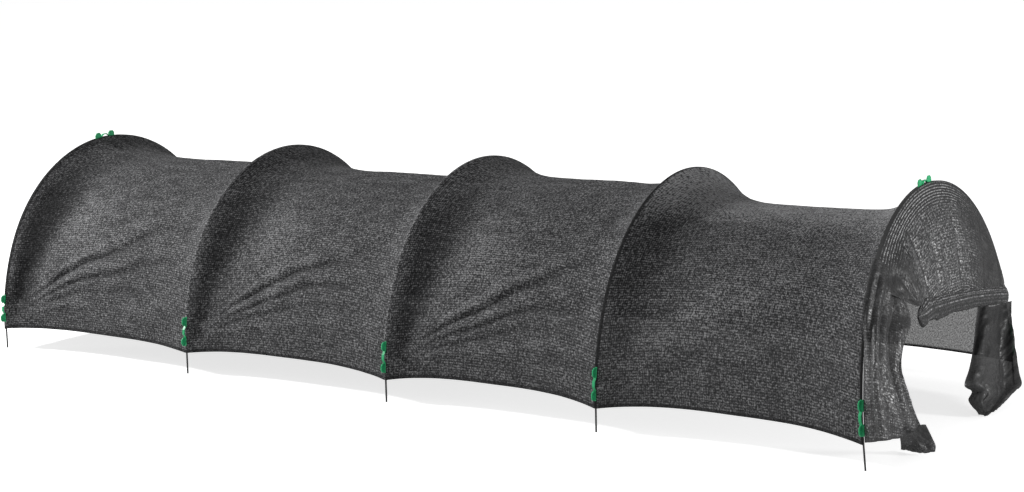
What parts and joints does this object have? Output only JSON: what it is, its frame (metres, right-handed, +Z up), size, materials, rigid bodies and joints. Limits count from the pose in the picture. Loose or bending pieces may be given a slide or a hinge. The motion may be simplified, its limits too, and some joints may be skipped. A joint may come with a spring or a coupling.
{
  "type": "garden tunnel with shade net",
  "caption": "Low garden tunnel: bent rod hoops carry a dark shade net held by green snap clips, with one end curtain rolled up.",
  "frame": {"origin": "middle of the footprint, on the ground at the level of the hoops' feet", "axes": "+X along the tunnel towards the open end, -Y the front, +Z up"},
  "size_m": [3.6452, 1.248, 0.7697],
  "materials": {
    "rod": "black glass-fibre rod, satin",
    "shade_net": "knitted charcoal shade net, slightly shiny tape yarn",
    "clip_plastic": "bright green moulded plastic"
  },
  "bodies": {
    "root": {"hoop_1": "rod", "hoop_2": "rod", "hoop_3": "rod", "hoop_4": "rod", "hoop_5": "rod", "cover_bay_1": "shade_net", "cover_bay_2": "shade_net", "cover_bay_3": "shade_net", "cover_bay_4": "shade_net", "left_end_curtain": "shade_net", "raised_end_curtain": "shade_net", "rolled_hem": "shade_net", "near_leg_drape": "shade_net", "hanging_tail": "shade_net", "clip_front_1": "clip_plastic", "clip_front_2": "clip_plastic", "clip_front_3": "clip_plastic", "clip_front_4": "clip_plastic", "clip_front_5": "clip_plastic", "clip_back_1": "clip_plastic", "clip_back_2": "clip_plastic", "clip_back_3": "clip_plastic", "clip_back_4": "clip_plastic", "clip_back_5": "clip_plastic", "clip_top_1": "clip_plastic", "clip_top_5": "clip_plastic"}
  },
  "joints": []
}
